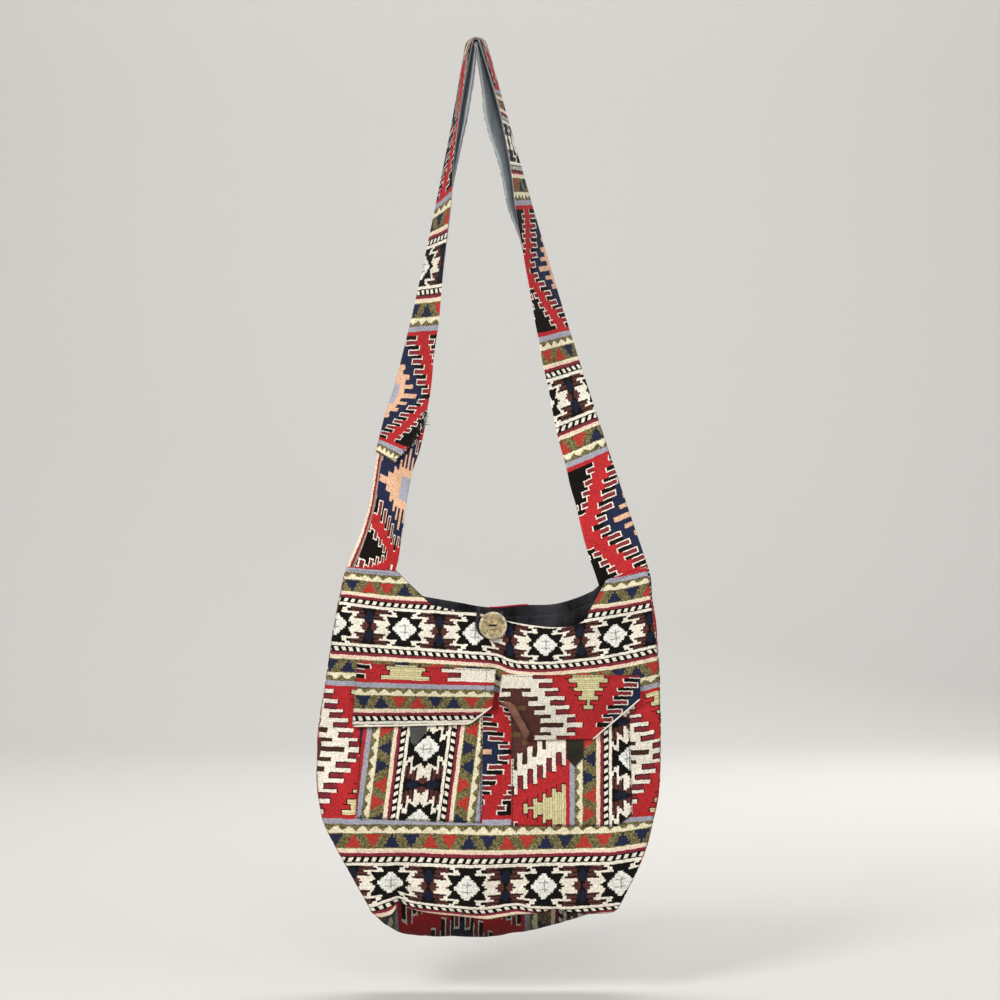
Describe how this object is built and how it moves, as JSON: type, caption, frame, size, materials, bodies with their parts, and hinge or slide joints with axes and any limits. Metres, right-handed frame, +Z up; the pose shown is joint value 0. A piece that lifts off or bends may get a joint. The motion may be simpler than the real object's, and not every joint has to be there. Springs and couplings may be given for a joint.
{
  "type": "crossbody bag",
  "caption": "Soft woven shoulder bag with a long lengthwise-folded strap, sagging open mouth, button and loop closure, side and base strip, and flapped patch pockets on the front.",
  "frame": {"origin": "where the strap's inner face bears at the top of its loop", "axes": "+Z up along the hanging bag, -Y out of the front with the pockets, +X to the right seen from the front"},
  "size_m": [0.3566, 0.0941, 0.9044],
  "materials": {
    "woven_cotton": "matt flat weave, stepped pattern in red, white, black, olive and lavender",
    "dark_lining": "matt plain weave",
    "slate_lining": "matt plain weave",
    "tab_cloth": "matt pile",
    "shell": "polished, flecked",
    "thread": "twisted thread",
    "loop_cloth": "matt cloth tube"
  },
  "bodies": {
    "root": {"front_panel": "woven_cotton", "back_panel": "woven_cotton", "gusset": "woven_cotton", "strap_cover": "woven_cotton", "strap_lower_left": "woven_cotton", "left_pouch": "woven_cotton", "left_flap": "woven_cotton", "right_pouch": "woven_cotton", "right_flap": "woven_cotton", "front_lining": "dark_lining", "back_lining": "dark_lining", "gusset_lining": "dark_lining", "strap_lining": "slate_lining", "left_tab": "tab_cloth", "right_tab": "tab_cloth", "button": "shell", "button_thread": "thread", "closure_loop": "loop_cloth"}
  },
  "joints": []
}
